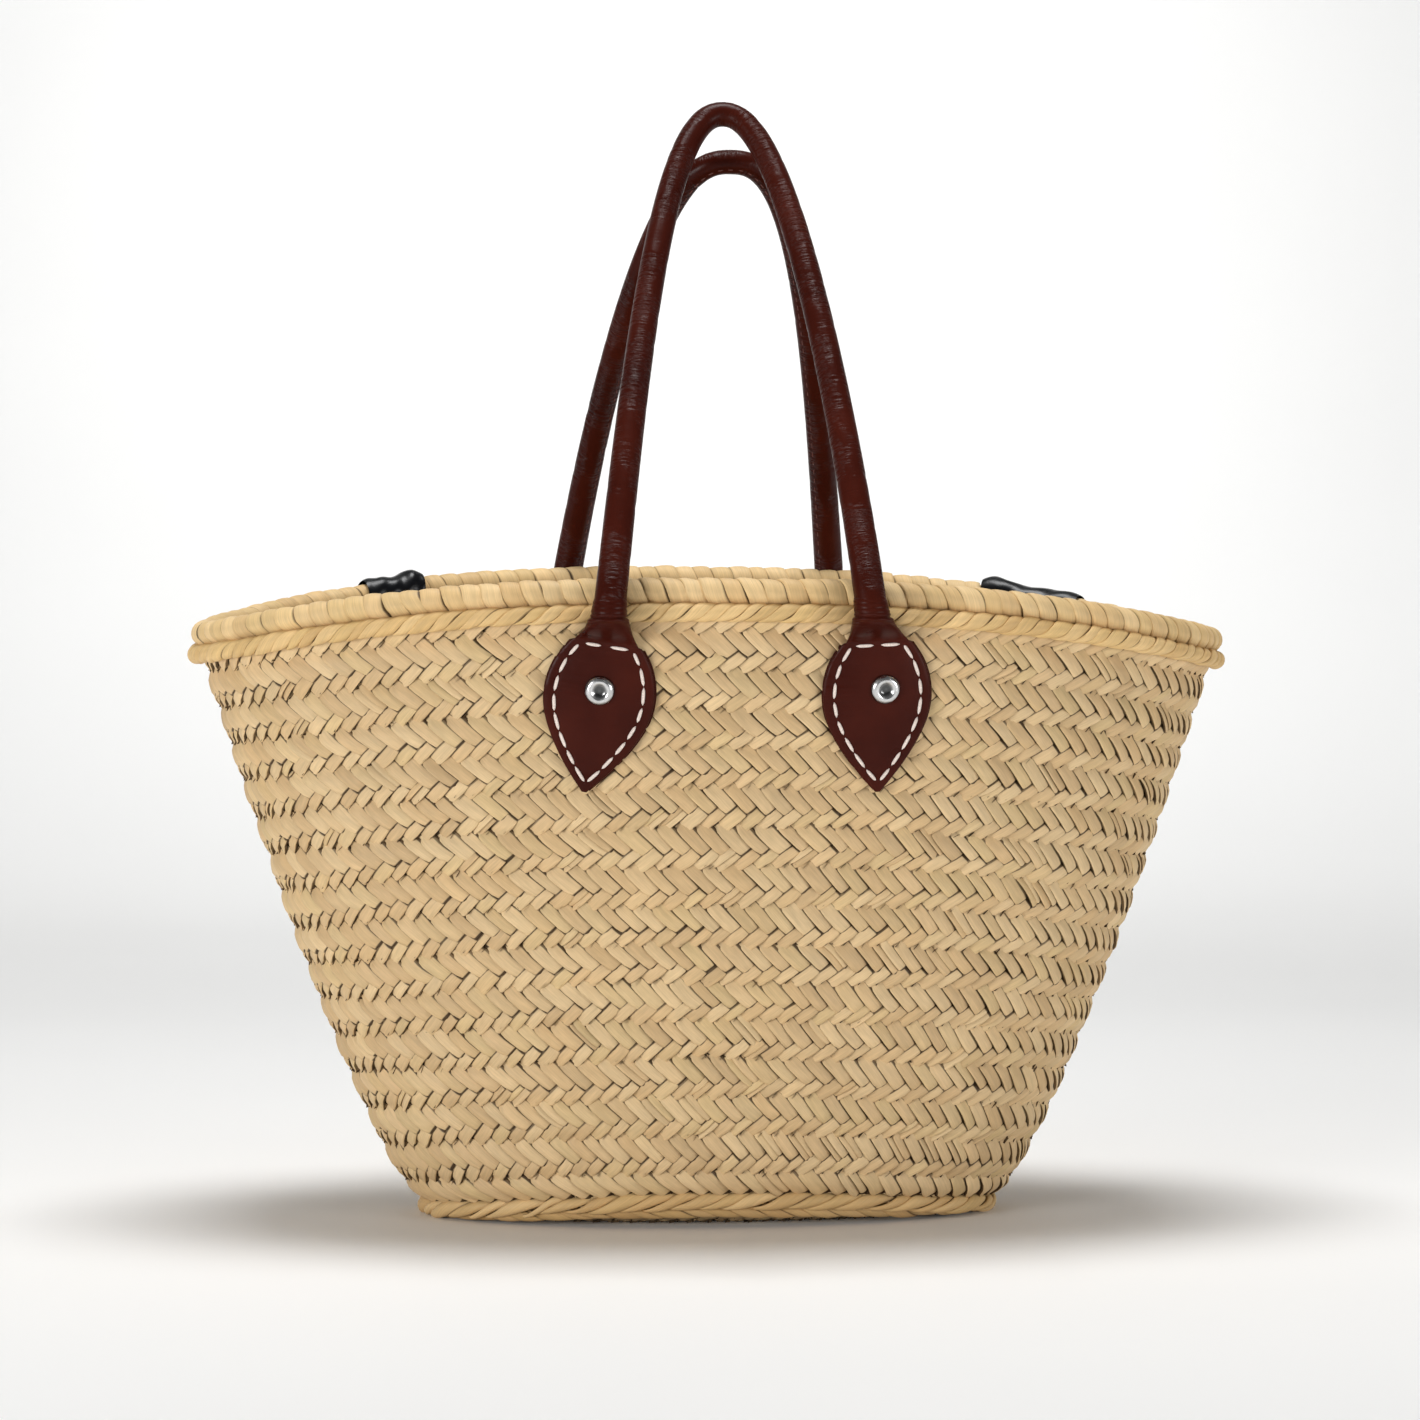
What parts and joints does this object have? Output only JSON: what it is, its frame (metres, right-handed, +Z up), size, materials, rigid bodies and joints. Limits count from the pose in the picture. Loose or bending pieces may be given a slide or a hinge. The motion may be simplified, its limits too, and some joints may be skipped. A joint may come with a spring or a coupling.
{
  "type": "woven market basket",
  "caption": "Open oval market basket of plaited palm leaf with a wrapped rim and two rolled leather handles riveted to the walls by stitched leaves.",
  "frame": {"origin": "middle of the flat underside that the basket stands on, under the middle of its overall box", "axes": "+Z up, X along the long side of the mouth, -Y towards the front"},
  "size_m": [0.5003, 0.3056, 0.5341],
  "materials": {
    "palm": "plaited dried palm leaf, matt with a slight sheen",
    "palm_rim": "wound strips of dried palm leaf",
    "fibre": "rough twisted fibre",
    "brown_leather": "red-brown leather, semi-gloss, finely creased",
    "black_leather": "black, glossy",
    "thread": "waxed off-white thread",
    "steel": "polished rivet"
  },
  "bodies": {
    "basket": {"base_panel": "palm", "base_ring": "palm_rim", "leaf_backing_front_left": "brown_leather", "leaf_backing_front_right": "brown_leather", "leaf_backing_rear_left": "brown_leather", "leaf_backing_rear_right": "brown_leather", "leaf_front_left": "brown_leather", "leaf_front_right": "brown_leather", "leaf_rear_left": "brown_leather", "leaf_rear_right": "brown_leather", "plaited_wall": "palm", "rim_cord_core": "fibre", "rim_cord_wrap": "palm_rim", "rim_patch_left": "black_leather", "rim_patch_right": "black_leather", "rim_roll_core": "fibre", "rim_roll_wrap": "palm_rim", "rivet_back_front_left": "steel", "rivet_back_front_right": "steel", "rivet_back_rear_left": "steel", "rivet_back_rear_right": "steel", "rivet_front_left": "steel", "rivet_front_right": "steel", "rivet_rear_left": "steel", "rivet_rear_right": "steel", "rivet_washer_front_left": "brown_leather", "rivet_washer_front_right": "brown_leather", "rivet_washer_rear_left": "brown_leather", "rivet_washer_rear_right": "brown_leather", "stitching_front_left": "thread", "stitching_front_right": "thread", "stitching_rear_left": "thread", "stitching_rear_right": "thread"},
    "handle_front": {"front_handle_core": "fibre", "front_handle_sleeve": "brown_leather"},
    "handle_rear": {"rear_handle_core": "fibre", "rear_handle_sleeve": "brown_leather"}
  },
  "joints": [
    {"name": "front_handle_fold", "type": "hinge", "parent": "basket", "child": "handle_front", "pos_m": [0.0034, -0.1455, 0.291], "axis": [1, 0, 0], "range_deg": [0, 150]},
    {"name": "rear_handle_fold", "type": "hinge", "parent": "basket", "child": "handle_rear", "pos_m": [0.0055, 0.1455, 0.291], "axis": [-1, 0, 0], "range_deg": [0, 150]}
  ]
}
